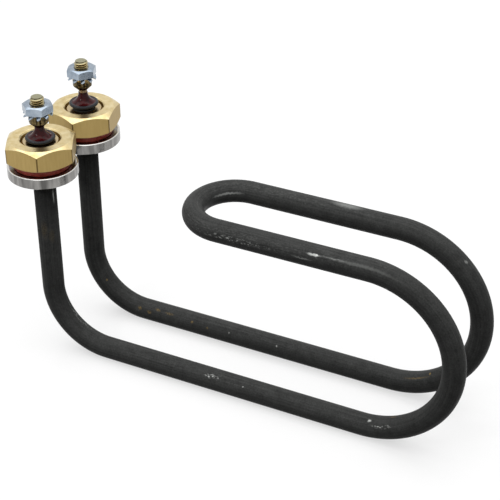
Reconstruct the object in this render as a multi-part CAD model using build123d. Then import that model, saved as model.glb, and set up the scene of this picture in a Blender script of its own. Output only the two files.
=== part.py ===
from build123d import *
import math
import os

# Tubular immersion heating element, bent from one sheathed tube. Two legs drop from the tank
# wall, turn into two parallel lower runs, rise through two U-turns into two upper runs, and the
# upper runs join in one flat hairpin turn. Each leg ends in a threaded bushing with its flange,
# gasket and brass nut, an end bead, and a threaded terminal with a toothed washer and a nut.
# Millimetres. The origin lies midway between the two legs, in the plane of the flanges that the
# gaskets seat on. +Z points out of the tank along the terminals, +X along the runs.

# Sheath and what is packed in it
tube_d = 8.0
tube_wall = 0.8
coil_d = 3.6
pin_d = 3.0

# Bent shape, all on the tube's centreline
leg_pitch = 28.4
leg_drop = 72.2
bend_r = 22.0
lower_run = 101.2
u_turn_r = 31.5
upper_run = 55.0

# Bushing, turned from steel bar, with its flange and threaded stub
flange_d = 25.0
flange_t = 3.6
lip_w = 0.75
lip_h = 0.4
rim_chamfer = 0.25
stub_d = 13.8
stub_h = 9.4
stub_chamfer = 0.7
bore_fit = 0.05
braze_leg = 0.9

# Gasket and brass nut
gasket_d = 20.4
gasket_t = 2.3
gasket_round = 0.7
thread_play = 0.1
nut_af = 23.0
nut_t = 8.0
nut_corner_drop = 1.4
nut_mouth = 0.5
front_nut_turn = -62.7
rear_nut_turn = -76.5

# End bead, a plug in the sheath's mouth with a cap that climbs the pin
sheath_rise = 0.45
bead_plug = 6.0
bead_cap_d = 10.6
bead_cap_h = 1.3
bead_lip = 1.1
bead_well = 0.2
bead_waist_d = 4.9
bead_waist_h = 2.5
bead_neck_d = 3.3
bead_neck_h = 4.95
front_bead_lift = 0.0
rear_bead_lift = 0.9
cold_length = 50.0

# Terminal, from the bead's neck up
front_neck = 0.1
rear_neck = 1.1
foot_d = 6.8
foot_h = 5.0
foot_collar_h = 3.4
foot_heel_d = 3.5
foot_socket = 2.5
foot_grooves = 8
foot_groove_depth = 0.45
stud_d = 4.83
stud_above_foot = 6.1
stud_chamfer = 0.5
washer_d = 10.4
washer_t = 0.6
washer_flat_d = 7.6
washer_dish = 0.65
washer_teeth = 10
washer_gap_w = 1.1
terminal_play = 0.06
terminal_nut_af = 9.53
terminal_nut_t = 3.1
terminal_nut_drop = 0.7
terminal_nut_mouth = 0.3
front_terminal_turn = -41.5
rear_terminal_turn = -68.5

# Places that follow from the sizes above
tube_r = tube_d / 2
bore_r = tube_r - tube_wall
half_pitch = leg_pitch / 2
run_z = -leg_drop
top_z = run_z + 2 * u_turn_r
u_x = bend_r + lower_run
hairpin_x = u_x - upper_run
stub_r = stub_d / 2
sheath_z = stub_h + sheath_rise
fill_z = sheath_z - bead_plug
gasket_r = gasket_d / 2
nut_z = gasket_t
neck_z = sheath_z + bead_neck_h


def element_path(front_z, rear_z):
    """Centreline from the front leg at front_z, round the whole element, to the rear leg at rear_z."""
    slant = math.sqrt(0.5)

    def half_stops(side, start_z):
        stops = (
            (0, start_z),
            (0, run_z + bend_r),
            (bend_r * (1 - slant), run_z + bend_r * (1 - slant)),
            (bend_r, run_z),
            (u_x, run_z),
            (u_x + u_turn_r, run_z + u_turn_r),
            (u_x, top_z),
            (hairpin_x, top_z),
        )
        return [Vector(x, side * half_pitch, z) for x, z in stops]

    def half_edges(stops):
        return [
            Line(stops[0], stops[1]),
            ThreePointArc(stops[1], stops[2], stops[3]),
            Line(stops[3], stops[4]),
            ThreePointArc(stops[4], stops[5], stops[6]),
            Line(stops[6], stops[7]),
        ]

    front = half_stops(-1, front_z)
    rear = half_stops(1, rear_z)
    rear.reverse()
    nose = Vector(hairpin_x - half_pitch, 0, top_z)
    hairpin = ThreePointArc(front[-1], nose, rear[0])
    return Wire(half_edges(front) + [hairpin] + half_edges(rear))


def along(section, path):
    """Sweep a flat section, drawn round the origin, along a path."""
    start = Plane(origin=path @ 0, z_dir=path % 0)
    return sweep(sections=start * section, path=path)


def turned(outline):
    """Turn a closed (radius, height) outline round the Z axis."""
    return revolve(Plane.XZ * make_face(outline), Axis.Z)


def ring(outer_r, inner_r, low, high):
    """A plain turned ring."""
    return Pos(0, 0, low) * extrude(Circle(outer_r) - Circle(inner_r), high - low)


def make_sheath():
    """Steel tube, drawn, filled and bent in one piece."""
    return along(Circle(tube_r) - Circle(bore_r), element_path(sheath_z, sheath_z))


def powder_path():
    """Centreline of the powder column, from bead to bead."""
    return element_path(fill_z + front_bead_lift, fill_z + rear_bead_lift)


def make_coil():
    """Space of the resistance wire's helix, which runs between the two cold pins."""
    column = powder_path()
    cold_share = cold_length / column.length
    return along(Circle(coil_d / 2), column.trim(cold_share, 1 - cold_share))


def make_pin(foot_z, bead_lift):
    """Cold pin, round the leg's own axis, from the terminal's foot down to the coil's end."""
    pin_top = foot_z + foot_socket
    pin_length = pin_top - (fill_z + bead_lift) + cold_length
    whole = element_path(pin_top, pin_top)
    pin = along(Circle(pin_d / 2), whole.trim(0, pin_length / whole.length))
    return Pos(0, half_pitch, 0) * pin


def make_fill(inner):
    """Compacted magnesium oxide powder, in all the room that the inner pieces leave."""
    fill = along(Circle(bore_r), powder_path())
    for piece in inner:
        fill -= piece
    return fill


def make_bushing():
    """Flange with a raised lip round the gasket's seat, and the stub for the brass nut."""
    inner = tube_r + bore_fit
    outer = flange_d / 2
    seat = outer - lip_w
    outline = Polyline(
        (inner, -flange_t),
        (outer - rim_chamfer, -flange_t),
        (outer, -flange_t + rim_chamfer),
        (outer, lip_h - rim_chamfer),
        (outer - rim_chamfer, lip_h),
        (seat + rim_chamfer, lip_h),
        (seat - lip_h, 0),
        (stub_r, 0),
        (stub_r, stub_h - stub_chamfer),
        (stub_r - stub_chamfer, stub_h),
        (inner, stub_h),
        close=True,
    )
    return turned(outline)


def make_braze():
    """Fillet of braze that seals the sheath to the flange's wet side."""
    outline = Polyline(
        (tube_r, -flange_t),
        (tube_r, -flange_t - braze_leg),
        (tube_r + braze_leg, -flange_t),
        close=True,
    )
    return turned(outline)


def make_gasket():
    """Flat silicone ring with a rounded outer edge."""
    body = ring(gasket_r, stub_r, 0, gasket_t)
    middle_r = (gasket_r + stub_r) / 2
    rim = body.edges().filter_by(GeomType.CIRCLE).filter_by(lambda edge: edge.radius > middle_r)
    return fillet(rim, gasket_round)


def hex_nut(across, thick, corner_drop, hole_r, mouth, both_ends):
    """Hexagon nut whose corners are turned off at 30 degrees, standing on Z = 0."""
    slope = math.tan(math.radians(30))
    corner_r = across / math.sqrt(3)
    face_r = corner_r - corner_drop / slope
    clear_r = corner_r + corner_drop
    clear_drop = (clear_r - face_r) * slope
    low_end = [(face_r, 0), (clear_r, clear_drop)] if both_ends else [(clear_r, 0)]
    outline = Polyline(
        (hole_r + mouth, 0),
        *low_end,
        (clear_r, thick - clear_drop),
        (face_r, thick),
        (hole_r + mouth, thick),
        (hole_r, thick - mouth),
        (hole_r, mouth),
        close=True,
    )
    return extrude(RegularPolygon(corner_r, 6), thick) & turned(outline)


def make_brass_nut(turn):
    """Brass nut, chamfered on both ends, run down onto the gasket."""
    nut = hex_nut(nut_af, nut_t, nut_corner_drop, stub_r + thread_play, nut_mouth, True)
    return Pos(0, 0, nut_z) * Rot(0, 0, turn) * nut


def make_bead():
    """Plug in the sheath's mouth, a cap with a rolled rim, and a hollow cone up the pin."""
    cap_r = bead_cap_d / 2
    cap_z = sheath_z + bead_cap_h
    rim_r = bead_cap_h / 2
    well_r = cap_r - bead_lip
    well_z = cap_z - bead_well
    neck_r = bead_neck_d / 2
    waist_r = bead_waist_d / 2
    waist_z = sheath_z + bead_waist_h
    under_r = cap_r - rim_r
    plug = Polyline(
        (neck_r, neck_z),
        (pin_d / 2, neck_z),
        (pin_d / 2, fill_z),
        (bore_r, fill_z),
        (bore_r, sheath_z),
        (under_r, sheath_z),
    )
    edge = ThreePointArc((under_r, sheath_z), (cap_r, sheath_z + rim_r), (under_r, cap_z))
    well = Line((under_r, cap_z), (well_r, well_z))
    cone = ThreePointArc((well_r, well_z), (waist_r, waist_z), (neck_r, neck_z))
    return turned([plug, edge, well, cone])


def make_terminal(foot_z):
    """Threaded terminal on a grooved collar, with a conical heel welded on the cold pin."""
    top = foot_z + foot_h
    foot_r = foot_d / 2
    heel_r = foot_heel_d / 2
    stud_r = stud_d / 2
    outline = Polyline(
        (0, foot_z + foot_socket),
        (pin_d / 2, foot_z + foot_socket),
        (pin_d / 2, foot_z),
        (heel_r, foot_z),
        (foot_r, top - foot_collar_h),
        (foot_r, top),
        (stud_r, top),
        (stud_r, top + stud_above_foot - stud_chamfer),
        (stud_r - stud_chamfer, top + stud_above_foot),
        (0, top + stud_above_foot),
        close=True,
    )
    terminal = turned(outline)
    groove_w = foot_groove_depth * math.sqrt(2)
    groove = extrude(Rot(0, 0, 45) * Rectangle(groove_w, groove_w), foot_h)
    for number in range(foot_grooves):
        turn = Rot(0, 0, 360 / foot_grooves * number)
        terminal -= turn * Pos(foot_r, 0, foot_z) * groove
    return terminal


def make_washer(low):
    """Toothed lock washer: a flat ring on the foot, with teeth that droop past it."""
    inner = stud_d / 2 + terminal_play
    flat = washer_flat_d / 2
    outer = washer_d / 2
    outline = Polyline(
        (inner, low),
        (flat, low),
        (outer, low - washer_dish),
        (outer, low - washer_dish + washer_t),
        (flat, low + washer_t),
        (inner, low + washer_t),
        close=True,
    )
    washer = turned(outline)
    notch = Box(washer_d, washer_gap_w, washer_d)
    for number in range(washer_teeth):
        turn = Rot(0, 0, 360 / washer_teeth * number)
        washer -= turn * Pos(flat + washer_d / 2, 0, low) * notch
    return washer


def make_terminal_nut(low, turn):
    """Plated hexagon nut on the terminal, with its upper corners turned off."""
    hole_r = stud_d / 2 + terminal_play
    nut = hex_nut(
        terminal_nut_af, terminal_nut_t, terminal_nut_drop, hole_r, terminal_nut_mouth, False
    )
    return Pos(0, 0, low) * Rot(0, 0, turn) * nut


def build_leg_end(nut_turn, bead_lift, neck, terminal_turn):
    """Everything that stands on one leg, round the leg's own axis."""
    foot_z = neck_z + bead_lift + neck
    washer_z = foot_z + foot_h
    return {
        "cold_pin": make_pin(foot_z, bead_lift),
        "bushing": make_bushing(),
        "braze_ring": make_braze(),
        "gasket": make_gasket(),
        "brass_nut": make_brass_nut(nut_turn),
        "end_bead": Pos(0, 0, bead_lift) * make_bead(),
        "terminal_stud": make_terminal(foot_z),
        "lock_washer": make_washer(washer_z),
        "terminal_nut": make_terminal_nut(washer_z + washer_t, terminal_turn),
    }


def build_all():
    """Every sub-part by its name, in the place that it has on the element."""
    parts = {"sheath": make_sheath(), "resistance_coil": make_coil()}
    front = build_leg_end(front_nut_turn, front_bead_lift, front_neck, front_terminal_turn)
    rear = build_leg_end(rear_nut_turn, rear_bead_lift, rear_neck, rear_terminal_turn)
    for name, side, leg_end in (("front", -1, front), ("rear", 1, rear)):
        for piece, solid in leg_end.items():
            parts[f"{name}_{piece}"] = Pos(0, side * half_pitch, 0) * solid
    inner = (parts["resistance_coil"], parts["front_cold_pin"], parts["rear_cold_pin"])
    parts["magnesia_fill"] = make_fill(inner)
    return parts


os.makedirs("parts", exist_ok=True)
for part_name, shape in build_all().items():
    export_step(shape, f"parts/{part_name}.step")
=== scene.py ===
import math

import bmesh
import bpy
from mathutils import Matrix, Vector


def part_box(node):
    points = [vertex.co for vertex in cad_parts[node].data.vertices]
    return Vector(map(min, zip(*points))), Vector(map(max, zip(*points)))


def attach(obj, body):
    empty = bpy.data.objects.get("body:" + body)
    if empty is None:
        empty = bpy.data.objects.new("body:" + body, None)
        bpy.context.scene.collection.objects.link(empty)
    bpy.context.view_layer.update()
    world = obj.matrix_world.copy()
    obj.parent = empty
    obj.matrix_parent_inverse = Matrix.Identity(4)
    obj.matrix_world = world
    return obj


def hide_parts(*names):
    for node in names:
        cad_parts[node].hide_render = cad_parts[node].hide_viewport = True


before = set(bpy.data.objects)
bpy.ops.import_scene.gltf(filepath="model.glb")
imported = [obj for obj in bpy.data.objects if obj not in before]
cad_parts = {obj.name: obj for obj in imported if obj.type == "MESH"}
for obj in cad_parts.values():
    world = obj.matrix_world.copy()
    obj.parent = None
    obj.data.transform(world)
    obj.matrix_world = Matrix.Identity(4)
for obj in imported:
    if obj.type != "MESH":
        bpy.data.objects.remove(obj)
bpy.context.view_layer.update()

# Camera
# It looks down from the front left, half a metre away, through a fairly long lens. One known point
# of the element, the closed end of the hairpin turn, fixes the picture.
hairpin_nose = Vector((0.054, 0.0, -0.0092))
nose_pixel = Vector((198.314, 202.0495))
picture_side = 500
focal_pixels = 1380.8236
camera_turn = math.radians(26.2651)
camera_lift = math.radians(31.962)
camera_roll = math.radians(-0.0995)
nose_distance = 0.4793871

look_back = Vector(
    (
        math.sin(camera_turn) * math.cos(camera_lift),
        -math.cos(camera_turn) * math.cos(camera_lift),
        math.sin(camera_lift),
    )
)
level_right = Vector((math.cos(camera_turn), math.sin(camera_turn), 0.0))
camera_axes = Matrix((level_right, look_back.cross(level_right), look_back)).transposed()
camera_axes = Matrix.Rotation(camera_roll, 3, look_back) @ camera_axes
nose_offset = (nose_pixel - Vector((picture_side / 2, picture_side / 2))) / focal_pixels * nose_distance
camera_place = (
    hairpin_nose
    - nose_offset.x * camera_axes.col[0]
    + nose_offset.y * camera_axes.col[1]
    + nose_distance * look_back
)
camera = bpy.data.objects.new("camera", bpy.data.cameras.new("camera"))
camera.data.sensor_fit = "HORIZONTAL"
camera.data.sensor_width = 36.0
camera.data.lens = focal_pixels / picture_side * camera.data.sensor_width
camera.matrix_world = Matrix.Translation(camera_place) @ camera_axes.to_4x4()
bpy.context.scene.collection.objects.link(camera)
bpy.context.scene.camera = camera
bpy.context.scene.view_settings.view_transform = "Standard"


# Floor
# A wide painted board that the two lower runs lie on. Its matt paint shows as a plain white that
# still keeps a soft shadow, and it throws little light back up, as the undersides are dark.
def linear(hex_colour):
    """An sRGB hex colour as linear red, green, blue and alpha."""
    channels = [int(hex_colour[i : i + 2], 16) / 255 for i in (1, 3, 5)]
    straight = [c / 12.92 if c <= 0.04045 else ((c + 0.055) / 1.055) ** 2.4 for c in channels]
    return (*straight, 1.0)


def add_node(tree, kind, inputs=None, **settings):
    """Adds one shader node with its settings, and gives each named input a value or a link."""
    made = tree.nodes.new("ShaderNode" + kind)
    for key, value in settings.items():
        setattr(made, key, value)
    for key, value in (inputs or {}).items():
        if isinstance(value, bpy.types.NodeSocket):
            tree.links.new(value, made.inputs[key])
        else:
            made.inputs[key].default_value = value
    return made


def start_material(name):
    """An empty node material and its tree."""
    material = bpy.data.materials.new(name)
    material.use_nodes = True
    material.node_tree.nodes.clear()
    return material, material.node_tree


def seen_as_background(tree):
    """One for camera, glossy and transmission rays, and nothing for the rest."""
    rays = add_node(tree, "LightPath").outputs
    first_two = {0: rays["Is Camera Ray"], 1: rays["Is Glossy Ray"]}
    either = add_node(tree, "Math", first_two, operation="MAXIMUM").outputs[0]
    all_three = {0: either, 1: rays["Is Transmission Ray"]}
    return add_node(tree, "Math", all_three, operation="MAXIMUM").outputs[0]


floor_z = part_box("sheath")[0].z
floor_half = 3.0
floor_white_share = 0.62
white = (1.0, 1.0, 1.0, 1.0)

floor_paint, tree = start_material("matt_pale_paint")
painted = add_node(tree, "BsdfDiffuse", {"Color": linear("#ececec")})
glowing = add_node(tree, "Emission", {"Color": white, "Strength": 1.0})
seen = add_node(tree, "MixShader", {0: floor_white_share, 1: painted.outputs[0], 2: glowing.outputs[0]})
bouncing = add_node(tree, "BsdfDiffuse", {"Color": linear("#404040")})
mixed = add_node(
    tree, "MixShader", {0: seen_as_background(tree), 1: bouncing.outputs[0], 2: seen.outputs[0]}
)
add_node(tree, "OutputMaterial", {"Surface": mixed.outputs[0]})

floor_shape = bmesh.new()
bmesh.ops.create_grid(
    floor_shape, x_segments=1, y_segments=1, size=floor_half, matrix=Matrix.Translation((0, 0, floor_z))
)
floor_mesh = bpy.data.meshes.new("floor")
floor_shape.to_mesh(floor_mesh)
floor_shape.free()
floor_mesh.materials.append(floor_paint)
floor = bpy.data.objects.new("floor", floor_mesh)
bpy.context.scene.collection.objects.link(floor)

# Surroundings and lamps
# A light tent, bright overhead and dim at the sides, that the eye and the metal see as plain white.
# One very large soft lamp hangs above, and a small one at the front puts bright dots on the beads.
horizon_light = 0.04
zenith_light = 1.66
dim_below = 0.35  # the sine of the height up to which the tent is dim
bright_above = 0.98  # the sine of the height from which it is brightest

world = bpy.data.worlds.new("light_tent")
bpy.context.scene.world = world
world.use_nodes = True
tree = world.node_tree
tree.nodes.clear()
direction = add_node(tree, "TexCoord")
height = add_node(tree, "SeparateXYZ", {0: direction.outputs["Generated"]})
tent = add_node(
    tree,
    "MapRange",
    {
        "Value": height.outputs["Z"],
        "From Min": dim_below,
        "From Max": bright_above,
        "To Min": horizon_light,
        "To Max": zenith_light,
    },
)
tent_light = add_node(tree, "Background", {"Color": white, "Strength": tent.outputs[0]})
tent_white = add_node(tree, "Background", {"Color": white, "Strength": 1.0})
tent_seen = add_node(
    tree, "MixShader", {0: seen_as_background(tree), 1: tent_light.outputs[0], 2: tent_white.outputs[0]}
)
add_node(tree, "OutputWorld", {"Surface": tent_seen.outputs[0]})

element_middle = Vector((0.06, 0.0, -0.03))
for lamp_name, lamp_place, lamp_side, lamp_watts in (
    ("overhead_lamp", Vector((-0.05, 0.05, 1.0)), 1.5, 8.5),
    ("front_lamp", Vector((-0.35, -0.75, 0.55)), 0.1, 1.1),
):
    lamp_data = bpy.data.lights.new(lamp_name, "AREA")
    lamp_data.shape = "SQUARE"
    lamp_data.size = lamp_side
    lamp_data.energy = lamp_watts
    lamp = bpy.data.objects.new(lamp_name, lamp_data)
    lamp.location = lamp_place
    lamp.rotation_euler = (element_middle - lamp_place).to_track_quat("-Z", "Y").to_euler()
    bpy.context.scene.collection.objects.link(lamp)


# Sheath
# One drawn tube of nickel-iron alloy, 8 mm across, filled and then bent cold round formers: down the
# front leg, along, up through the U-turn, back, round the hairpin, and the same way home.
tube_r = 0.004
tube_wall = 0.0008
bend_r = 0.022
u_turn_r = 0.0315
upper_run = 0.055
tube_sides = 72
degrees_a_step = 3.0

sheath_low, sheath_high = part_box("sheath")
half_pitch = sheath_high.y - tube_r
run_z = sheath_low.z + tube_r
u_x = sheath_high.x - tube_r - u_turn_r
lower_run = u_x - bend_r
leg_length = sheath_high.z - (run_z + bend_r)
top_run_z = run_z + 2 * u_turn_r
hairpin_x = u_x - upper_run

tube = bmesh.new()
drawn = tube.verts.layers.float_vector.new("drawn")
bmesh.ops.create_circle(
    tube, cap_ends=False, segments=tube_sides, radius=tube_r,
    matrix=Matrix.Translation((0, -half_pitch, sheath_high.z)),
)
for vert in tube.verts:
    vert[drawn] = (vert.co.x, vert.co.y + half_pitch, 0.0)


def push_tube(ring, move, length):
    """Carries the open end on by one move, and notes on its points how far along the tube they are."""
    pushed = bmesh.ops.extrude_edge_only(tube, edges=ring)["geom"]
    end = [part for part in pushed if isinstance(part, bmesh.types.BMVert)]
    bmesh.ops.transform(tube, matrix=move, verts=end)
    for vert in end:
        place = vert[drawn].copy()
        place.z += length
        vert[drawn] = place
    held = set(end)
    return [
        part
        for part in pushed
        if isinstance(part, bmesh.types.BMEdge) and held.issuperset(part.verts)
    ]


def bend_tube(ring, centre, axis, radius, turn):
    """Bends the tube round a former, a few degrees at a time."""
    steps = round(turn / degrees_a_step)
    angle = math.radians(turn / steps)
    move = Matrix.Translation(centre) @ Matrix.Rotation(angle, 4, axis) @ Matrix.Translation(-centre)
    for _ in range(steps):
        ring = push_tube(ring, move, radius * angle)
    return ring


ring = list(tube.edges)
ring = push_tube(ring, Matrix.Translation((0, 0, -leg_length)), leg_length)
ring = bend_tube(ring, Vector((bend_r, 0, run_z + bend_r)), Vector((0, -1, 0)), bend_r, 90)
ring = push_tube(ring, Matrix.Translation((lower_run, 0, 0)), lower_run)
ring = bend_tube(ring, Vector((u_x, 0, run_z + u_turn_r)), Vector((0, -1, 0)), u_turn_r, 180)
ring = push_tube(ring, Matrix.Translation((-upper_run, 0, 0)), upper_run)
ring = bend_tube(ring, Vector((hairpin_x, 0, top_run_z)), Vector((0, 0, -1)), half_pitch, 180)
ring = push_tube(ring, Matrix.Translation((upper_run, 0, 0)), upper_run)
ring = bend_tube(ring, Vector((u_x, 0, run_z + u_turn_r)), Vector((0, 1, 0)), u_turn_r, 180)
ring = push_tube(ring, Matrix.Translation((-lower_run, 0, 0)), lower_run)
ring = bend_tube(ring, Vector((bend_r, 0, run_z + bend_r)), Vector((0, 1, 0)), bend_r, 90)
ring = push_tube(ring, Matrix.Translation((0, 0, leg_length)), leg_length)
bmesh.ops.recalc_face_normals(tube, faces=tube.faces)

# The tube's surface is nickel-iron alloy with its annealing scale on: charcoal, half dull, with faint draw
# lines, darker clouds of scale, a sandy grain, small places rubbed to bright metal, and painted highlights
# of bright metal on the front of the hairpin's upper run.
draw_line = 0.0006  # real draw lines are 0.05 mm; drawn coarse, or they would not show
draw_line_run = 0.03
scale_cloud = 0.003  # the scale darkened in patches about 3 mm wide
scale_grain = 0.0005  # real scale grains are 0.1 mm; drawn coarse, or they would not show
scale_height = 0.00004
ragged_edge = 0.0009  # the rubbed places' edges wander by about 1 mm
speck = 0.0005  # a bare speck is 0.5 mm wide and a little more than twice as long
speck_run = 0.0012

# Rubbed, scratched and stained places: where they lie on the tube, across it (x, y) and along it,
# how far they reach across and along, all in millimetres, and how strong they are.
rubbed_and_highlight_places = (
    (-1.2, 3.8, 384.0, 0.5, 8.0, 0.45),
    # The next four, on the front of the hairpin's upper run, are painted highlights: bright metal on a worn
    # streak and a dent, where the front lamp's reflection falls.
    (-2.4, -3.2, 312.6, 0.5, 2.6, 0.8),
    (-2.5, -3.1, 311.3, 0.45, 0.7, 1.0),
    (-2.6, -3.0, 298.0, 0.7, 14.0, 0.13),
    (-2.6, -3.0, 305.0, 0.28, 6.0, 0.3),
    (-3.9, 0.0, 430.0, 1.6, 6.0, 0.3),
    (-0.5, -3.97, 316.5, 0.3, 4.0, 0.3),
    (2.8, -2.85, 152.1, 0.35, 0.4, 0.55),
    (2.2, 3.3, 611.7, 0.35, 0.35, 0.5),
    (2.4, 3.2, 591.9, 0.35, 0.35, 0.5),
    (3.5, -1.9, 200.4, 0.5, 0.8, 0.9),
    (3.9, -0.8, 21.5, 0.4, 3.2, 0.5),
    (-3.8, 1.3, 473.2, 0.5, 0.8, 0.35),
)
speckled_places = (
    (-0.7, -3.9, 341.0, 1.0, 15.0, 0.6),
    (3.0, -2.6, 139.5, 0.9, 3.0, 1.0),
    (2.4, -3.2, 205.5, 0.7, 4.5, 0.8),
    (3.9, 1.0, 78.0, 1.3, 9.0, 0.45),
    (-2.0, -3.4, 340.0, 2.2, 45.0, 0.07),
    (-3.6, 1.6, 400.0, 2.2, 45.0, 0.06),
)
rusty_places = (
    (2.0, 3.4, 650.2, 0.8, 1.0, 0.55),
    (1.6, 3.7, 646.0, 0.7, 1.0, 0.5),
    (3.0, 2.7, 642.5, 0.6, 1.2, 0.45),
    (2.8, 2.8, 637.5, 0.5, 2.0, 0.4),
    (2.3, 3.2, 627.5, 0.5, 0.6, 0.5),
    (1.8, 3.6, 620.9, 0.5, 0.6, 0.4),
    (2.8, 2.8, 669.7, 0.45, 0.45, 0.9),
    (4.0, 0.3, 209.5, 0.3, 1.6, 0.7),
    (3.6, 1.8, 530.1, 0.45, 0.45, 1.0),
    (3.1, 2.5, 536.0, 0.35, 6.0, 0.4),
    (0.8, -3.9, 34.7, 1.4, 4.0, 0.12),
    (3.0, -2.6, 37.3, 1.2, 3.0, 0.1),
)


def marked_share(tree, place, marks):
    """How strongly any of the marks lies at each point: soft-edged spots in tube coordinates."""
    strongest = None
    in_millimetres = 1000.0
    full_within = 0.35
    gone_beyond = 1.15
    for x, y, along, across, reach, strength in marks:
        spot = add_node(
            tree, "Mapping",
            {
                "Vector": place,
                "Scale": (in_millimetres / across, in_millimetres / across, in_millimetres / reach),
                "Location": (-x / across, -y / across, -along / reach),
            },
        )
        away = add_node(tree, "VectorMath", {0: spot.outputs[0]}, operation="LENGTH").outputs["Value"]
        fade = {"From Min": full_within, "From Max": gone_beyond, "To Min": strength, "To Max": 0.0}
        share = add_node(tree, "MapRange", {"Value": away, **fade}).outputs[0]
        if strongest is not None:
            share = add_node(tree, "Math", {0: strongest, 1: share}, operation="MAXIMUM").outputs[0]
        strongest = share
    return strongest


def spread_noise(tree, place, size, detail, low, high):
    """Noise whose lumps have a real size, spread over the whole of 0 to 1."""
    pattern = {"Vector": place, "Scale": 1.0 / size, "Detail": detail, "Roughness": 0.6}
    noise = add_node(tree, "TexNoise", pattern).outputs[0]
    return add_node(tree, "MapRange", {"Value": noise, "From Min": low, "From Max": high}).outputs[0]


sheath_alloy, tree = start_material("annealed_alloy_tube")
place = add_node(tree, "Attribute", attribute_name="drawn").outputs["Vector"]
flow = add_node(tree, "Mapping", {"Vector": place, "Scale": (1.0, 1.0, draw_line / draw_line_run)})
lines = spread_noise(tree, flow.outputs[0], draw_line, 3.0, 0.3, 0.7)
clouds = spread_noise(tree, place, scale_cloud, 4.0, 0.32, 0.68)
grain = spread_noise(tree, place, scale_grain, 2.0, 0.3, 0.7)
flow = add_node(tree, "Mapping", {"Vector": place, "Scale": (1.0, 1.0, speck / speck_run)})
specks = spread_noise(tree, flow.outputs[0], speck, 2.0, 0.52, 0.66)
shiver = add_node(tree, "TexNoise", {"Vector": place, "Scale": 1.0 / ragged_edge, "Detail": 2.0})
shift = add_node(
    tree, "VectorMath", {0: shiver.outputs["Color"], 1: (0.5, 0.5, 0.5)}, operation="SUBTRACT"
)
shift = add_node(tree, "VectorMath", {0: shift.outputs[0], "Scale": ragged_edge}, operation="SCALE")
ragged = add_node(tree, "VectorMath", {0: place, 1: shift.outputs[0]}, operation="ADD").outputs[0]
# Rubbed metal and painted highlights share one mask, which makes the colour pale and metallic.
rubbed_and_highlit = marked_share(tree, ragged, rubbed_and_highlight_places)
speckled = marked_share(tree, ragged, speckled_places)
speckled = add_node(tree, "Math", {0: speckled, 1: specks}, operation="MULTIPLY").outputs[0]
bare_and_highlit = add_node(tree, "Math", {0: rubbed_and_highlit, 1: speckled}, operation="MAXIMUM").outputs[0]
rusty = marked_share(tree, ragged, rusty_places)
rusty = add_node(tree, "Math", {0: rusty, 1: grain}, operation="MULTIPLY").outputs[0]
rusty = add_node(tree, "Math", {0: rusty, 1: 1.5}, operation="MULTIPLY", use_clamp=True).outputs[0]

oxide = add_node(
    tree, "Mix", {0: clouds, 6: linear("#303130"), 7: linear("#434443")}, data_type="RGBA"
)
lined = add_node(
    tree, "Mix", {0: lines, 6: linear("#2c2c2c"), 7: linear("#494948")}, data_type="RGBA"
)
oxide = add_node(tree, "Mix", {0: 0.45, 6: oxide.outputs[2], 7: lined.outputs[2]}, data_type="RGBA")
sandy = add_node(tree, "MapRange", {"Value": grain, "To Min": 0.78, "To Max": 1.22})
oxide = add_node(
    tree, "VectorMath", {0: oxide.outputs[2], "Scale": sandy.outputs[0]}, operation="SCALE"
)
rust = add_node(tree, "Mix", {0: rusty, 6: oxide.outputs[0], 7: linear("#937a48")}, data_type="RGBA")
colour = add_node(tree, "Mix", {0: bare_and_highlit, 6: rust.outputs[2], 7: linear("#b9bbb8")}, data_type="RGBA")
gloss = add_node(tree, "MapRange", {"Value": clouds, "To Min": 0.38, "To Max": 0.5})
heights = add_node(tree, "Math", {0: grain, 1: lines}, operation="ADD")
relief = add_node(tree, "Bump", {"Strength": 0.2, "Distance": scale_height, "Height": heights.outputs[0]})
surface = add_node(
    tree, "BsdfPrincipled",
    {
        "Base Color": colour.outputs[2],
        "Roughness": gloss.outputs[0],
        "Metallic": bare_and_highlit,
        "Specular IOR Level": 0.035,
        "Normal": relief.outputs[0],
    },
)
add_node(tree, "OutputMaterial", {"Surface": surface.outputs[0]})


def finish_piece(name, shape, material, node, crease=180.0):
    """Makes the modelled shape an object that stands for a CAD node and rides with the element."""
    mesh = bpy.data.meshes.new(name)
    shape.to_mesh(mesh)
    shape.free()
    mesh.materials.append(material)
    mesh.polygons.foreach_set("use_smooth", [True] * len(mesh.polygons))
    if crease < 180.0:
        mesh.set_sharp_from_angle(angle=math.radians(crease))
    piece = bpy.data.objects.new(name, mesh)
    bpy.context.scene.collection.objects.link(piece)
    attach(piece, "root")
    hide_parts(node)
    return piece


sheath = finish_piece("bent_sheath", tube, sheath_alloy, "sheath")
wall = sheath.modifiers.new("wall", "SOLIDIFY")
wall.thickness = tube_wall
wall.offset = -1.0
wall.use_rim = True


# What the sheath is packed with
# Magnesium oxide powder, pressed round a helix of resistance wire, and the two cold pins that carry
# the current to it. Only a ring of each pin shows, between the bead and the terminal.
def plain_finish(name, low_colour, high_colour, grain, roughness, metallic):
    """A fine-grained finish in two close colours for a piece that hardly shows."""
    material, tree = start_material(name)
    place = add_node(tree, "TexCoord").outputs["Object"]
    grains = add_node(tree, "TexNoise", {"Vector": place, "Scale": 1.0 / grain, "Detail": 3.0})
    colour = add_node(
        tree, "Mix", {0: grains.outputs[0], 6: linear(low_colour), 7: linear(high_colour)}, data_type="RGBA"
    )
    relief = add_node(tree, "Bump", {"Strength": 0.3, "Distance": grain / 4, "Height": grains.outputs[0]})
    surface = add_node(
        tree, "BsdfPrincipled",
        {
            "Base Color": colour.outputs[2],
            "Roughness": roughness,
            "Metallic": metallic,
            "Normal": relief.outputs[0],
        },
    )
    add_node(tree, "OutputMaterial", {"Surface": surface.outputs[0]})
    return material


# Pressed powder is chalk white and quite matt, and drawn wire is a soft grey, half bright. The drawn
# pins are half bright too, and the heat of welding left them straw brown.
powder_grain = 0.0004  # real grains are 0.1 mm; drawn coarse, or they would not show
drawn_grain = 0.0003  # real drawing marks are 0.03 mm; drawn coarse, or they would not show

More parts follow.
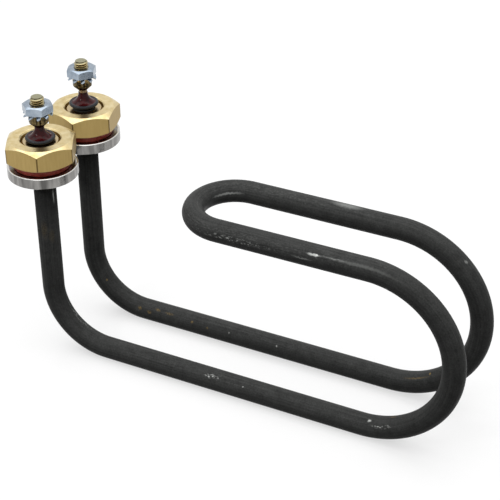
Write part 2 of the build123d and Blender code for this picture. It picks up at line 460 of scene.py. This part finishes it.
powder = plain_finish("pressed_magnesia_powder", "#dcd8cc", "#efece2", powder_grain, 0.9, 0.0)
wire = plain_finish("drawn_nichrome_wire", "#7d7a76", "#a09c97", drawn_grain, 0.35, 1.0)
pin_steel = plain_finish("drawn_steel_rod", "#6b5a44", "#94826a", drawn_grain, 0.4, 1.0)
for node_name, finish in (
    ("magnesia_fill", powder),
    ("resistance_coil", wire),
    ("front_cold_pin", pin_steel),
    ("rear_cold_pin", pin_steel),
):
    for material_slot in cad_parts[node_name].material_slots:
        material_slot.material = finish

# Bushings
# Stainless steel, turned from bar in one piece: a thick flange with a raised lip round the gasket's
# seat, and a threaded stub for the brass nut. The sheath is brazed in from the flange's wet side.
flange_r = 0.0125
flange_t = 0.0036
lip_w = 0.00075
lip_h = 0.0004
rim_chamfer = 0.00025
stub_r = 0.0069
stub_h = 0.0094
stub_chamfer = 0.0007
bore_fit = 0.00005
flange_edge = 0.00006


def turned_shape(outline, leg_y, steps=96):
    """Turns an outline of radius and height pairs round a leg's axis; a radius of 0 closes on the axis."""
    shape = bmesh.new()
    corners = [shape.verts.new((radius, 0.0, height)) for radius, height in outline]
    edges = [shape.edges.new(pair) for pair in zip(corners, corners[1:])]
    if outline[0][0] > 0 and outline[-1][0] > 0:
        edges.append(shape.edges.new((corners[-1], corners[0])))
    bmesh.ops.spin(
        shape, geom=corners + edges, cent=(0, 0, 0), axis=(0, 0, 1), dvec=(0, 0, 0),
        angle=math.tau, steps=steps, use_merge=True, use_duplicate=False,
    )
    bmesh.ops.remove_doubles(shape, verts=shape.verts, dist=1e-6)
    bmesh.ops.recalc_face_normals(shape, faces=shape.faces)
    bmesh.ops.translate(shape, verts=shape.verts, vec=(0, leg_y, 0))
    return shape


def leg_place(tree):
    """Object coordinates centred on the nearer leg's axis, so that both legs share one pattern."""
    place = add_node(tree, "SeparateXYZ", {0: add_node(tree, "TexCoord").outputs["Object"]})
    outward = add_node(tree, "Math", {0: place.outputs["Y"]}, operation="ABSOLUTE")
    across = add_node(tree, "Math", {0: outward.outputs[0], 1: half_pitch}, operation="SUBTRACT")
    return add_node(
        tree, "CombineXYZ", {0: place.outputs["X"], 1: across.outputs[0], 2: place.outputs["Z"]}
    ).outputs[0]


def turned_coordinates(tree):
    """Radius and height about the leg's axis, for patterns that a lathe leaves."""
    place = add_node(tree, "SeparateXYZ", {0: leg_place(tree)})
    flat = add_node(tree, "CombineXYZ", {0: place.outputs["X"], 1: place.outputs["Y"]})
    radius = add_node(tree, "VectorMath", {0: flat.outputs[0]}, operation="LENGTH")
    return add_node(
        tree, "CombineXYZ", {0: radius.outputs["Value"], 1: 0.0, 2: place.outputs["Z"]}
    ).outputs[0]


# Turned stainless steel is grey and mirror-like, with rings that the tool left. Its colour carries painted
# reflections, soft pale and dark vertical bands on the rim, and a painted highlight, a pale band round the
# lip's edge. Brazing turned the end of the stub the colour of straw.
turning_ring = 0.0004  # real feed rings are 0.1 mm; drawn coarse, or they would not show
ring_depth = 0.00001
reflection_band = 0.003  # the rim's painted reflection bands, pale and dark, are about 3 mm wide
reflection_run = 0.02
lip_edge = 0.0003
lip_highlight_share = 0.8
straw_from = 0.0084
straw_blend = 0.0006

bushing_steel, tree = start_material("turned_stainless_steel")
turned_place = turned_coordinates(tree)
rings = spread_noise(tree, turned_place, turning_ring, 1.0, 0.3, 0.7)
streak = (1.0, 1.0, reflection_band / reflection_run)
# Painted reflection: vertical pale and dark bands in the steel's colour, which also set its gloss.
flow = add_node(tree, "Mapping", {"Vector": leg_place(tree), "Scale": streak})
reflection_bands = spread_noise(tree, flow.outputs[0], reflection_band, 2.0, 0.32, 0.68)
steel = add_node(tree, "Mix", {0: reflection_bands, 6: linear("#5c5b59"), 7: linear("#9f9d9a")}, data_type="RGBA")
up = add_node(tree, "SeparateXYZ", {0: turned_place}).outputs["Z"]
# Painted highlight: the lip's top edge is turned pale.
painted_lip_highlight = add_node(
    tree, "MapRange",
    {"Value": up, "From Min": lip_h - lip_edge, "From Max": lip_h - lip_edge / 2, "To Max": lip_highlight_share},
)
steel = add_node(
    tree, "Mix", {0: painted_lip_highlight.outputs[0], 6: steel.outputs[2], 7: linear("#e2e1de")}, data_type="RGBA"
)
straw = add_node(
    tree, "MapRange",
    {"Value": up, "From Min": straw_from, "From Max": straw_from + straw_blend, "To Max": 0.85},
)
steel = add_node(
    tree, "Mix", {0: straw.outputs[0], 6: steel.outputs[2], 7: linear("#b89f6c")}, data_type="RGBA"
)
gloss = add_node(tree, "MapRange", {"Value": reflection_bands, "To Min": 0.16, "To Max": 0.26})
relief = add_node(tree, "Bump", {"Strength": 0.2, "Distance": ring_depth, "Height": rings})
surface = add_node(
    tree, "BsdfPrincipled",
    {
        "Base Color": steel.outputs[2],
        "Roughness": gloss.outputs[0],
        "Metallic": 1.0,
        "Normal": relief.outputs[0],
    },
)
add_node(tree, "OutputMaterial", {"Surface": surface.outputs[0]})

# Silver braze is a pale yellow metal, half bright, that froze with a fine grain.
braze_grain = 0.0005  # real grains are 0.1 mm; drawn coarse, or they would not show
braze = plain_finish("silver_braze", "#a89a72", "#c9bd98", braze_grain, 0.38, 1.0)


def ease_edges(piece, width, angle=30.0):
    """Rounds a piece's sharp edges by a small width, as tumbling or a file does."""
    edge = piece.modifiers.new("eased_edges", "BEVEL")
    edge.width = width
    edge.segments = 2
    edge.limit_method = "ANGLE"
    edge.angle_limit = math.radians(angle)
    edge.harden_normals = True
    return piece


legs = {"front": -half_pitch, "rear": half_pitch}
bushing_outline = (
    (tube_r + bore_fit, -flange_t),
    (flange_r - rim_chamfer, -flange_t),
    (flange_r, -flange_t + rim_chamfer),
    (flange_r, lip_h - rim_chamfer),
    (flange_r - rim_chamfer, lip_h),
    (flange_r - lip_w + rim_chamfer, lip_h),
    (flange_r - lip_w - lip_h, 0.0),
    (stub_r, 0.0),
    (stub_r, stub_h - stub_chamfer),
    (stub_r - stub_chamfer, stub_h),
    (tube_r + bore_fit, stub_h),
)
for leg, leg_y in legs.items():
    bushing = finish_piece(
        f"{leg}_turned_bushing", turned_shape(bushing_outline, leg_y), bushing_steel,
        f"{leg}_bushing", crease=25.0,
    )
    ease_edges(bushing, flange_edge)
    for material_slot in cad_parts[f"{leg}_braze_ring"].material_slots:
        material_slot.material = braze

# Gaskets
# Moulded red silicone rubber, flat on both faces with its outer edge rounded, squeezed between the
# flange and the brass nut so that the wall between them is sealed.
gasket_r = 0.0102
gasket_t = 0.0023
gasket_round = 0.0007
round_steps = 5

# Moulded silicone is an even deep red with a soft shine, and takes the mould's fine grain.
silicone_cloud = 0.002  # the red varies a little over about 2 mm
mould_grain = 0.0003  # the mould's real grain is 0.05 mm; drawn coarse, or it would not show
mould_depth = 0.00002

silicone, tree = start_material("moulded_red_silicone")
place = leg_place(tree)
clouds = spread_noise(tree, place, silicone_cloud, 2.0, 0.3, 0.7)
red = add_node(tree, "Mix", {0: clouds, 6: linear("#903026"), 7: linear("#b04234")}, data_type="RGBA")
pores = spread_noise(tree, place, mould_grain, 2.0, 0.3, 0.7)
relief = add_node(tree, "Bump", {"Strength": 0.15, "Distance": mould_depth, "Height": pores})
surface = add_node(
    tree, "BsdfPrincipled",
    {
        "Base Color": red.outputs[2],
        "Roughness": 0.34,
        "IOR": 1.41,
        "Normal": relief.outputs[0],
    },
)
add_node(tree, "OutputMaterial", {"Surface": surface.outputs[0]})

rounded_edge = []
for centre_z, start_angle in ((gasket_round, -90.0), (gasket_t - gasket_round, 0.0)):
    for step in range(round_steps + 1):
        angle = math.radians(start_angle + 90.0 * step / round_steps)
        across = gasket_r - gasket_round + gasket_round * math.cos(angle)
        rounded_edge.append((across, centre_z + gasket_round * math.sin(angle)))
gasket_outline = [(stub_r, 0.0), *rounded_edge, (stub_r, gasket_t)]
for leg, leg_y in legs.items():
    finish_piece(
        f"{leg}_moulded_gasket", turned_shape(gasket_outline, leg_y), silicone,
        f"{leg}_gasket", crease=50.0,
    )

# Brass nuts
# Free-cutting brass, 23 mm across flats, cut from drawn hexagon bar, with both faces turned flat and
# their corners turned off at 30 degrees. Screwed on the stub, it clamps the wall.
nut_edge = 0.00009

# Brass is a warm yellow. Its drawn flats are half dull with faint die lines, its faces were turned
# bright, with a shallow ring where the tool changed its cut, and a painted shade darkens its corners.
facing_ring = 0.0005  # real feed rings are 0.15 mm; drawn coarse, or they would not show
die_line = 0.0007  # real die lines are 0.1 mm; drawn coarse, or they would not show
die_line_run = 0.006
tarnish_cloud = 0.0025  # tarnish lies in patches of 2 to 3 mm
cut_depth = 0.00002
step_r = 0.0098
step_half = 0.0002
countersink_r = 0.0079
countersink_foot_r = 0.0074
corner_r = 0.01316
corner_shade_width = 0.00006

brass, tree = start_material("drawn_and_turned_brass")
place = leg_place(tree)
turned_place = turned_coordinates(tree)
rings = spread_noise(tree, turned_place, facing_ring, 1.0, 0.3, 0.7)
flow = add_node(tree, "Mapping", {"Vector": place, "Scale": (1.0, 1.0, die_line / die_line_run)})
lines = spread_noise(tree, flow.outputs[0], die_line, 3.0, 0.3, 0.7)
clouds = spread_noise(tree, place, tarnish_cloud, 4.0, 0.3, 0.7)
facing = add_node(tree, "SeparateXYZ", {0: add_node(tree, "NewGeometry").outputs["True Normal"]})
upward = add_node(tree, "Math", {0: facing.outputs["Z"]}, operation="ABSOLUTE").outputs[0]
cut_share = add_node(tree, "MapRange", {"Value": upward, "From Min": 0.25, "From Max": 0.6}).outputs[0]
flat_share = add_node(tree, "MapRange", {"Value": upward, "From Min": 0.95, "From Max": 0.99}).outputs[0]
drawn_brass = add_node(tree, "Mix", {0: lines, 6: linear("#a08956"), 7: linear("#aa935e")}, data_type="RGBA")
cut_brass = add_node(tree, "Mix", {0: clouds, 6: linear("#c8b27c"), 7: linear("#dfcfa4")}, data_type="RGBA")
colour = add_node(
    tree, "Mix", {0: cut_share, 6: drawn_brass.outputs[2], 7: cut_brass.outputs[2]}, data_type="RGBA"
)
radius = add_node(tree, "SeparateXYZ", {0: turned_place}).outputs["X"]
# Painted shade: a thin dark brown line on the flats along the hexagon's corners.
painted_corner_shade = add_node(
    tree, "MapRange",
    {"Value": radius, "From Min": corner_r - corner_shade_width, "From Max": corner_r, "To Max": 0.8},
).outputs[0]
painted_corner_shade = add_node(tree, "MapRange", {"Value": cut_share, "To Min": painted_corner_shade, "To Max": 0.0}).outputs[0]
colour = add_node(tree, "Mix", {0: painted_corner_shade, 6: colour.outputs[2], 7: linear("#4a3a1e")}, data_type="RGBA")
gloss = add_node(tree, "MapRange", {"Value": cut_share, "To Min": 0.42, "To Max": 0.3})
step = add_node(
    tree, "MapRange",
    {"Value": radius, "From Min": step_r - step_half, "From Max": step_r + step_half},
    interpolation_type="SMOOTHSTEP",
).outputs[0]
sunk = add_node(
    tree, "MapRange",
    {"Value": radius, "From Min": countersink_foot_r, "From Max": countersink_r, "To Max": 3.0},
).outputs[0]
step = add_node(tree, "Math", {0: step, 1: sunk}, operation="ADD").outputs[0]
step = add_node(tree, "Math", {0: step, 1: flat_share}, operation="MULTIPLY").outputs[0]
texture = add_node(tree, "Math", {0: rings, 1: lines}, operation="ADD").outputs[0]
heights = add_node(tree, "Math", {0: step, 1: 4.0, 2: texture}, operation="MULTIPLY_ADD")
relief = add_node(tree, "Bump", {"Strength": 0.22, "Distance": cut_depth, "Height": heights.outputs[0]})
surface = add_node(
    tree, "BsdfPrincipled",
    {
        "Base Color": colour.outputs[2],
        "Roughness": gloss.outputs[0],
        "Metallic": 1.0,
        "Normal": relief.outputs[0],
    },
)
add_node(tree, "OutputMaterial", {"Surface": surface.outputs[0]})


def copied_shape(node_name):
    """The machined form of a CAD node with its loose triangles joined and its flat faces whole."""
    shape = bmesh.new()
    shape.from_mesh(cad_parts[node_name].data)
    bmesh.ops.remove_doubles(shape, verts=shape.verts, dist=1e-6)
    bmesh.ops.dissolve_limit(
        shape, angle_limit=math.radians(1.0), use_dissolve_boundaries=False,
        verts=shape.verts, edges=shape.edges,
    )
    return shape


for leg in legs:
    brass_nut = finish_piece(
        f"{leg}_hexagon_nut", copied_shape(f"{leg}_brass_nut"), brass,
        f"{leg}_brass_nut", crease=12.0,
    )
    ease_edges(brass_nut, nut_edge, angle=12.0)

# End beads
# Dark maroon sealing resin, poured and cured in the sheath's mouth: a plug, a cap with a rolled
# rim that is a grey ring in the photo, and a hollow cone that climbs the pin.
bead_cap_r = 0.0053
bead_cap_h = 0.0013
bead_lip = 0.0011
bead_well = 0.0002
bead_waist_r = 0.00245
bead_waist_h = 0.0025
bead_neck_r = 0.00165
pin_r = 0.0015

# Cured resin is near black with a red heart and a wet gloss. Its rim is painted grey and a little duller,
# a painted reflection of the pale surroundings seen at a grazing angle.
resin_cloud = 0.0015  # the resin's red shows in patches of 1 to 2 mm
resin_ripple = 0.002  # it set with waves about 2 mm long
ripple_height = 0.0001
rim_reflection_from = 0.0041
rim_reflection_full = 0.0045

resin, tree = start_material("cured_maroon_resin")
place = leg_place(tree)
clouds = spread_noise(tree, place, resin_cloud, 2.0, 0.3, 0.7)
maroon = add_node(tree, "Mix", {0: clouds, 6: linear("#270709"), 7: linear("#500d11")}, data_type="RGBA")
radius = add_node(tree, "SeparateXYZ", {0: turned_coordinates(tree)}).outputs["X"]
# Painted reflection: the cap's rim, beyond about 4.1 mm out, turns grey.
painted_rim_reflection = add_node(
    tree, "MapRange", {"Value": radius, "From Min": rim_reflection_from, "From Max": rim_reflection_full}
).outputs[0]
colour = add_node(tree, "Mix", {0: painted_rim_reflection, 6: maroon.outputs[2], 7: linear("#2c2e32")}, data_type="RGBA")
gloss = add_node(tree, "MapRange", {"Value": painted_rim_reflection, "To Min": 0.1, "To Max": 0.3})
ripples = spread_noise(tree, place, resin_ripple, 1.0, 0.2, 0.8)
relief = add_node(tree, "Bump", {"Strength": 0.1, "Distance": ripple_height, "Height": ripples})
surface = add_node(
    tree, "BsdfPrincipled",
    {
        "Base Color": colour.outputs[2],
        "Roughness": gloss.outputs[0],
        "IOR": 1.54,
        "Specular IOR Level": 0.14,
        "Normal": relief.outputs[0],
    },
)
add_node(tree, "OutputMaterial", {"Surface": surface.outputs[0]})


def arc_through(start, middle, end, steps):
    """Points of the arc through three points, with its ends."""
    (ax, ay), (bx, by), (cx, cy) = start, middle, end
    spread = 2 * (ax * (by - cy) + bx * (cy - ay) + cx * (ay - by))
    squares = (ax * ax + ay * ay, bx * bx + by * by, cx * cx + cy * cy)
    centre_x = (squares[0] * (by - cy) + squares[1] * (cy - ay) + squares[2] * (ay - by)) / spread
    centre_y = (squares[0] * (cx - bx) + squares[1] * (ax - cx) + squares[2] * (bx - ax)) / spread
    radius = math.hypot(ax - centre_x, ay - centre_y)
    first = math.atan2(ay - centre_y, ax - centre_x)
    sweep = (math.atan2(cy - centre_y, cx - centre_x) - first) % math.tau
    if (bx - ax) * (cy - by) < (by - ay) * (cx - bx):
        sweep -= math.tau
    angles = [first + sweep * step / steps for step in range(steps + 1)]
    return [(centre_x + radius * math.cos(a), centre_y + radius * math.sin(a)) for a in angles]


rim_steps = 12
cone_steps = 14
rim_r = bead_cap_h / 2
under_r = bead_cap_r - rim_r
for leg, leg_y in legs.items():
    bead_low, bead_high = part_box(f"{leg}_end_bead")
    neck_z = bead_high.z
    cap_low = sheath_high.z + (bead_low.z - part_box("front_end_bead")[0].z)
    cap_top = cap_low + bead_cap_h
    outline = [
        (pin_r, neck_z),
        (pin_r, bead_low.z),
        (tube_r - tube_wall, bead_low.z),
        (tube_r - tube_wall, cap_low),
        *arc_through((under_r, cap_low), (bead_cap_r, cap_low + rim_r), (under_r, cap_top), rim_steps),
        *arc_through(
            (bead_cap_r - bead_lip, cap_top - bead_well),
            (bead_waist_r, cap_low + bead_waist_h),
            (bead_neck_r, neck_z),
            cone_steps,
        ),
    ]
    finish_piece(
        f"{leg}_resin_bead", turned_shape(outline, leg_y), resin,
        f"{leg}_end_bead", crease=50.0,
    )

# Terminal studs
# Steel terminals, headed and rolled: a conical heel welded on the pin, a collar with grooves that
# grip the washer, and a rolled 4.83 mm thread of 32 to the inch. Worn yellow zinc plating.
foot_r = 0.0034
foot_collar_h = 0.0034
foot_heel_r = 0.00175
foot_grooves = 8
foot_groove_depth = 0.00045
steps_a_groove = 12
foot_h = 0.005
stud_r = 0.002415
stud_chamfer = 0.0005
thread_pitch = 0.0254 / 32
thread_depth = 0.00048
steps_a_turn = 48

# Yellow zinc plating that was heated and handled: olive brown where it dulled, gold on its high spots,
# a painted highlight of bright gold along the thread's crests, and bare pale steel on the stud's end.
plating_patch = 0.0011  # it wore off in patches of about 1 mm
plating_grain = 0.0003  # its real grain is 0.02 mm; drawn coarse, or it would not show
plating_depth = 0.00002
stud_from = 0.0205
stud_full = 0.0225

plating, tree = start_material("worn_yellow_zinc_plating")
place = leg_place(tree)
patches = spread_noise(tree, place, plating_patch, 4.0, 0.42, 0.66)
dulled = add_node(tree, "Mix", {0: patches, 6: linear("#302a1e"), 7: linear("#7a6a48")}, data_type="RGBA")
radius = add_node(tree, "SeparateXYZ", {0: turned_coordinates(tree)}).outputs["X"]
above_foot = add_node(tree, "SeparateXYZ", {0: place}).outputs["Z"]
on_stud = add_node(
    tree, "MapRange", {"Value": above_foot, "From Min": stud_from, "From Max": stud_full}
).outputs[0]
# Painted highlight: the thread's crests are turned bright gold.
crest_highlight = add_node(
    tree, "MapRange",
    {"Value": radius, "From Min": stud_r - thread_depth * 0.6, "From Max": stud_r - thread_depth * 0.15},
).outputs[0]
crest_highlight = add_node(tree, "Math", {0: crest_highlight, 1: on_stud}, operation="MULTIPLY").outputs[0]
gold = add_node(tree, "Mix", {0: crest_highlight, 6: dulled.outputs[2], 7: linear("#d8b878")}, data_type="RGBA")
facing = add_node(tree, "SeparateXYZ", {0: add_node(tree, "NewGeometry").outputs["True Normal"]})
top_share = add_node(
    tree, "MapRange", {"Value": facing.outputs["Z"], "From Min": 0.6, "From Max": 0.95}
).outputs[0]
top_share = add_node(tree, "Math", {0: top_share, 1: on_stud}, operation="MULTIPLY").outputs[0]
colour = add_node(tree, "Mix", {0: top_share, 6: gold.outputs[2], 7: linear("#989579")}, data_type="RGBA")
grain = spread_noise(tree, place, plating_grain, 2.0, 0.3, 0.7)
relief = add_node(tree, "Bump", {"Strength": 0.2, "Distance": plating_depth, "Height": grain})
surface = add_node(
    tree, "BsdfPrincipled",
    {
        "Base Color": colour.outputs[2],
        "Roughness": 0.28,
        "Metallic": 1.0,
        "Normal": relief.outputs[0],
    },
)
add_node(tree, "OutputMaterial", {"Surface": surface.outputs[0]})


def grooved_foot(foot_z, leg_y):
    """The heel and collar, turned, with a V groove pressed in at even steps round the collar."""
    outline = (
        (0.0, foot_z),
        (foot_heel_r, foot_z),
        (foot_r, foot_z + foot_h - foot_collar_h),
        (foot_r, foot_z + foot_h),
        (0.0, foot_z + foot_h),
    )
    shape = turned_shape(outline, 0.0, steps=foot_grooves * steps_a_groove)
    groove_half = foot_groove_depth / foot_r
    for vert in shape.verts:
        radius = math.hypot(vert.co.x, vert.co.y)
        if radius > foot_r - foot_groove_depth:
            angle = math.atan2(vert.co.y, vert.co.x)
            from_groove = abs((angle * foot_grooves / math.tau + 0.5) % 1 - 0.5) / foot_grooves * math.tau
            depth = foot_groove_depth * max(0.0, 1 - from_groove / groove_half)
            vert.co.xy *= (radius - depth) / radius
    bmesh.ops.translate(shape, verts=shape.verts, vec=(0, leg_y, 0))
    return shape


def threaded_rod(low, high, leg_y):
    """A rolled thread between two heights, cut flat at both, with a chamfered free end."""
    turns = math.ceil((high - low) / thread_pitch) + 3
    start = low - thread_pitch * 1.5
    core_r = stud_r - thread_depth
    # Each corner's radius, and its height as a share of the pitch.
    flank = ((core_r, 0.0), (core_r, 0.1), (stud_r, 0.44), (stud_r, 0.56), (core_r, 0.9), (core_r, 1.0))
    shape = bmesh.new()
    corners = [shape.verts.new((radius, 0.0, start + share * thread_pitch)) for radius, share in flank]
    edges = [shape.edges.new(pair) for pair in zip(corners, corners[1:])]
    bmesh.ops.spin(
        shape, geom=corners + edges, cent=(0, 0, 0), axis=(0, 0, 1),
        dvec=(0, 0, thread_pitch / steps_a_turn), angle=math.tau * turns, steps=steps_a_turn * turns,
        use_merge=False, use_duplicate=False,
    )
    bmesh.ops.remove_doubles(shape, verts=shape.verts, dist=5e-6)
    for vert in shape.verts:
        radius = math.hypot(vert.co.x, vert.co.y)
        allowed = stud_r - max(0.0, vert.co.z - (high - stud_chamfer))
        if radius > allowed:
            vert.co.xy *= max(allowed, stud_r / 2) / radius
    for height, outward in ((low, -1.0), (high, 1.0)):
        everything = shape.verts[:] + shape.edges[:] + shape.faces[:]
        bmesh.ops.bisect_plane(
            shape, geom=everything, plane_co=(0, 0, height), plane_no=(0, 0, outward), clear_outer=True
        )
        rim = [edge for edge in shape.edges if all(abs(vert.co.z - height) < 1e-7 for vert in edge.verts)]
        bmesh.ops.holes_fill(shape, edges=rim, sides=0)
    bmesh.ops.recalc_face_normals(shape, faces=shape.faces)
    bmesh.ops.translate(shape, verts=shape.verts, vec=(0, leg_y, 0))
    return shape


def joined_shape(first, second):
    """Two shapes of one piece in one mesh."""
    mesh = bpy.data.meshes.new("part")
    second.to_mesh(mesh)
    second.free()
    first.from_mesh(mesh)
    bpy.data.meshes.remove(mesh)
    return first


for leg, leg_y in legs.items():
    foot_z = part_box(f"{leg}_terminal_stud")[0].z
    foot = grooved_foot(foot_z, leg_y)
    thread = threaded_rod(foot_z + foot_h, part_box(f"{leg}_terminal_stud")[1].z, leg_y)
    finish_piece(
        f"{leg}_rolled_stud", joined_shape(foot, thread), plating,
        f"{leg}_terminal_stud", crease=25.0,
    )

# Lock washers
# Spring steel stamped with ten outer teeth, each twisted out of the flat so that its corners bite
# the nut and the foot, then zinc plated with a blue passivate.
washer_bore_r = 0.002475
washer_flat_r = 0.0039
washer_r = 0.0052
washer_t = 0.0006
washer_teeth = 10
tooth_width = 0.0019
tooth_tip = 0.62
tooth_drop = 0.0007
tooth_twist = math.radians(32)
tooth_overlap = 0.0003
washer_edge = 0.00005
washer_steps = 60

# Bright zinc under a blue passivate is a cold, slightly blue grey, smooth as it was cold formed.
zinc_cloud = 0.003  # the passivate's blue varies over about 3 mm
zinc_grain = 0.0004  # its real grain is 0.02 mm; drawn coarse, or it would not show
zinc_depth = 0.00001

zinc, tree = start_material("blue_passivated_zinc")
place = leg_place(tree)
clouds = spread_noise(tree, place, zinc_cloud, 2.0, 0.3, 0.7)
colour = add_node(tree, "Mix", {0: clouds, 6: linear("#8793a0"), 7: linear("#a6b1bc")}, data_type="RGBA")
grain = spread_noise(tree, place, zinc_grain, 2.0, 0.3, 0.7)
relief = add_node(tree, "Bump", {"Strength": 0.1, "Distance": zinc_depth, "Height": grain})
surface = add_node(
    tree, "BsdfPrincipled",
    {
        "Base Color": colour.outputs[2],
        "Roughness": 0.24,
        "Metallic": 1.0,
        "Normal": relief.outputs[0],
    },
)
add_node(tree, "OutputMaterial", {"Surface": surface.outputs[0]})


def toothed_washer(low, leg_y):
    """A flat ring, and teeth that taper outwards, hang a little and are twisted about their length."""
    ring_outline = (
        (washer_bore_r, low),
        (washer_flat_r, low),
        (washer_flat_r, low + washer_t),
        (washer_bore_r, low + washer_t),
    )
    shape = turned_shape(ring_outline, 0.0, steps=washer_steps)
    root_r = washer_flat_r - tooth_overlap
    tooth_length = washer_r - root_r
    for number in range(washer_teeth):
        tooth = bmesh.ops.create_cube(shape, size=1.0)["verts"]
        bmesh.ops.scale(shape, vec=(tooth_length, tooth_width, washer_t * 0.96), verts=tooth)
        outer = [vert for vert in tooth if vert.co.x > 0]
        bmesh.ops.scale(shape, vec=(1.0, tooth_tip, 1.0), verts=outer)
        bmesh.ops.rotate(shape, cent=(0, 0, 0), matrix=Matrix.Rotation(tooth_twist, 3, "X"), verts=outer)
        bmesh.ops.translate(shape, vec=(0, 0, -tooth_drop), verts=outer)
        bmesh.ops.translate(shape, vec=(root_r + tooth_length / 2, 0, low + washer_t / 2), verts=tooth)
        turn = Matrix.Rotation(math.tau * (number + 0.5) / washer_teeth, 3, "Z")
        bmesh.ops.rotate(shape, cent=(0, 0, 0), matrix=turn, verts=tooth)
    bmesh.ops.translate(shape, verts=shape.verts, vec=(0, leg_y, 0))
    return shape


for leg, leg_y in legs.items():
    ring_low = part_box(f"{leg}_terminal_nut")[0].z - washer_t
    washer = finish_piece(
        f"{leg}_toothed_washer", toothed_washer(ring_low, leg_y), zinc,
        f"{leg}_lock_washer", crease=20.0,
    )
    ease_edges(washer, washer_edge, angle=20.0)

# Terminal nuts
# Small steel hexagon nuts, 3/8 inch across flats, cold formed with one chamfered face and zinc
# plated like the washers.
small_nut_edge = 0.00008

for leg in legs:
    terminal_nut = finish_piece(
        f"{leg}_plated_nut", copied_shape(f"{leg}_terminal_nut"), zinc,
        f"{leg}_terminal_nut", crease=12.0,
    )
    ease_edges(terminal_nut, small_nut_edge, angle=12.0)
